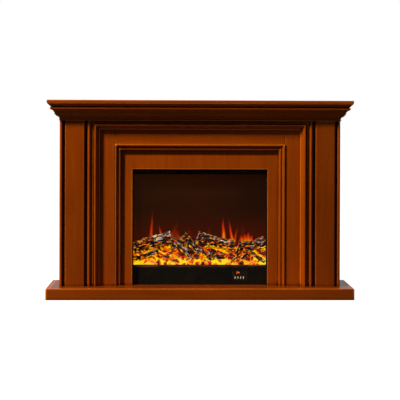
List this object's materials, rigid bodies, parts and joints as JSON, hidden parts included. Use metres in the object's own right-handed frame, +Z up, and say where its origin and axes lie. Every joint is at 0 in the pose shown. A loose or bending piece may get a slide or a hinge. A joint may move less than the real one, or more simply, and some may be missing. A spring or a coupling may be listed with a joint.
{
  "type": "electric fireplace",
  "caption": "Electric fireplace: a moulded wooden mantel surround on a plinth, with a flame-effect fan heater insert behind glass and push-button controls.",
  "frame": {"origin": "centre of the plinth's underside, on the floor", "axes": "+X to the right seen from the front, +Y towards the wall, +Z up; the fire faces -Y"},
  "size_m": [1.5, 0.33, 0.97],
  "materials": {
    "lacquered_wood": "gloss reddish-brown lacquer, dark glaze in the grooves",
    "raw_board": "unfinished board",
    "black_steel": "satin black powder coat",
    "zinc_steel": "zinc-plated sheet",
    "tinted_glass": "smoked tempered glass",
    "black_plastic": "satin",
    "button_plastic": "black, gloss, with a cream crescent let into each cap",
    "display": "orange lit display behind a dark lens",
    "circuit_board": "solder mask",
    "ember_resin": "translucent resin, lit from below",
    "log_ceramic": "matt, painted as charred bark",
    "flame_screen": "diffusing screen, lit from behind",
    "reflector_foil": "crinkled reflective foil",
    "heater_alloy": "bare fins"
  },
  "bodies": {
    "fireplace": {"blower_housing": "zinc_steel", "case_floor": "zinc_steel", "case_left": "zinc_steel", "case_right": "zinc_steel", "case_top": "zinc_steel", "column_board_left": "lacquered_wood", "column_board_right": "lacquered_wood", "control_board": "circuit_board", "control_panel": "black_plastic", "cord_gland": "black_plastic", "crown_front": "lacquered_wood", "crown_left": "lacquered_wood", "crown_right": "lacquered_wood", "display_window": "display", "ember_bed": "ember_resin", "ember_tray": "black_steel", "fan_motor": "zinc_steel", "firebox_ceiling": "black_steel", "flame_screen": "flame_screen", "frieze_board": "raw_board", "front_bezel": "black_steel", "front_glass": "tinted_glass", "header_rail": "lacquered_wood", "heating_element": "heater_alloy", "inner_moulding_left": "lacquered_wood", "inner_moulding_right": "lacquered_wood", "inner_moulding_top": "lacquered_wood", "lamp_board": "circuit_board", "log_centre": "log_ceramic", "log_far_right": "log_ceramic", "log_left": "log_ceramic", "log_right": "log_ceramic", "lower_fascia": "black_steel", "mantel_shelf": "lacquered_wood", "opening_panel": "lacquered_wood", "outer_moulding_left": "lacquered_wood", "outer_moulding_right": "lacquered_wood", "outer_moulding_top": "lacquered_wood", "outlet_grille": "black_steel", "pilaster_left": "lacquered_wood", "pilaster_right": "lacquered_wood", "plinth_front": "lacquered_wood", "plinth_left": "lacquered_wood", "plinth_rear_rail": "raw_board", "plinth_right": "lacquered_wood", "plinth_top": "lacquered_wood", "rear_cover": "zinc_steel", "rear_top_rail": "raw_board", "rotor_bearing": "zinc_steel", "rotor_motor": "zinc_steel", "side_panel_left": "lacquered_wood", "side_panel_right": "lacquered_wood", "stile_left": "lacquered_wood", "stile_right": "lacquered_wood"},
    "button_1": {"button_1": "button_plastic"},
    "button_2": {"button_2": "button_plastic"},
    "button_3": {"button_3": "button_plastic"},
    "button_4": {"button_4": "button_plastic"},
    "flame_rotor": {"flame_rotor": "reflector_foil"},
    "fan_wheel": {"fan_wheel": "black_plastic"}
  },
  "joints": [
    {"name": "button_1_press", "type": "slide", "parent": "fireplace", "child": "button_1", "axis": [0, 1, 0], "range_m": [0, 0.0015], "stiffness_N_per_m": 300, "springref_m": -0.0005},
    {"name": "button_2_press", "type": "slide", "parent": "fireplace", "child": "button_2", "axis": [0, 1, 0], "range_m": [0, 0.0015], "stiffness_N_per_m": 300, "springref_m": -0.0005},
    {"name": "button_3_press", "type": "slide", "parent": "fireplace", "child": "button_3", "axis": [0, 1, 0], "range_m": [0, 0.0015], "stiffness_N_per_m": 300, "springref_m": -0.0005},
    {"name": "button_4_press", "type": "slide", "parent": "fireplace", "child": "button_4", "axis": [0, 1, 0], "range_m": [0, 0.0015], "stiffness_N_per_m": 300, "springref_m": -0.0005},
    {"name": "flame_rotor_spin", "type": "hinge", "parent": "fireplace", "child": "flame_rotor", "pos_m": [0, 0.1078, 0.1073], "axis": [1, 0, 0], "continuous": true},
    {"name": "fan_spin", "type": "hinge", "parent": "fireplace", "child": "fan_wheel", "pos_m": [0, 0.1078, 0.6002], "axis": [1, 0, 0], "continuous": true}
  ]
}
